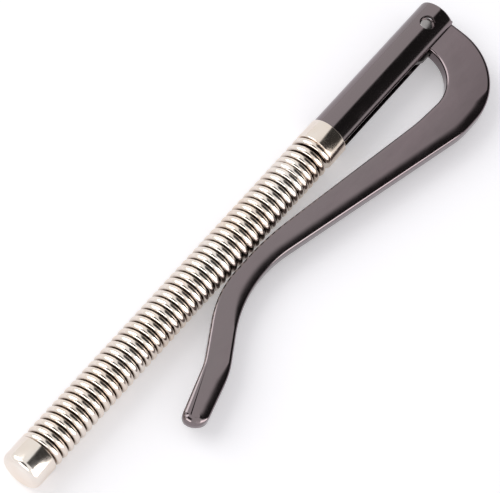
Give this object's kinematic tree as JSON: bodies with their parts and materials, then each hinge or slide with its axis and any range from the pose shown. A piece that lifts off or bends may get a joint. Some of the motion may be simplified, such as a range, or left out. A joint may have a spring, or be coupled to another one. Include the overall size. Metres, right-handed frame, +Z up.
{
  "type": "money clip bar",
  "caption": "Spring-loaded money clip bar for a wallet spine: slotted head tube, hinged S-curved clip arm, ferrule, coil spring, pull rod and end cap.",
  "frame": {"origin": "centre of the bounding box's base, on the surface the clip lies on", "axes": "+X along the bar from the end cap to the head, +Y across the bar away from the clip arm, +Z up along the hinge axis"},
  "size_m": [0.0826, 0.0154, 0.0055],
  "materials": {
    "dark_nickel": "polished black nickel plate",
    "bright_nickel": "polished nickel plate",
    "pin_steel": "bright drawn steel",
    "rod_steel": "drawn steel wire",
    "bush_brass": "turned brass"
  },
  "bodies": {
    "bar": {"head_tube": "dark_nickel", "hinge_pin": "pin_steel", "guide_bush": "bush_brass", "ferrule": "bright_nickel", "coil_spring": "bright_nickel"},
    "arm": {"clip_arm": "dark_nickel", "link_pin": "pin_steel"},
    "rod": {"pull_rod": "rod_steel", "end_cap": "bright_nickel"}
  },
  "joints": [
    {"name": "arm_hinge", "type": "hinge", "parent": "bar", "child": "arm", "pos_m": [0.03845, 0.00492, 0.00275], "axis": [0, 0, 1], "range_deg": [0, 45], "stiffness_Nm_per_rad": 0.03, "springref_deg": -4.01},
    {"name": "rod_slide", "type": "slide", "parent": "bar", "child": "rod", "axis": [1, 0, 0], "range_m": [0, 0.00142], "deforming": ["coil_spring"]}
  ],
  "couplings": [
    {"joint": "rod_slide", "follows": "arm_hinge", "m_per_rad": 0.001803}
  ]
}
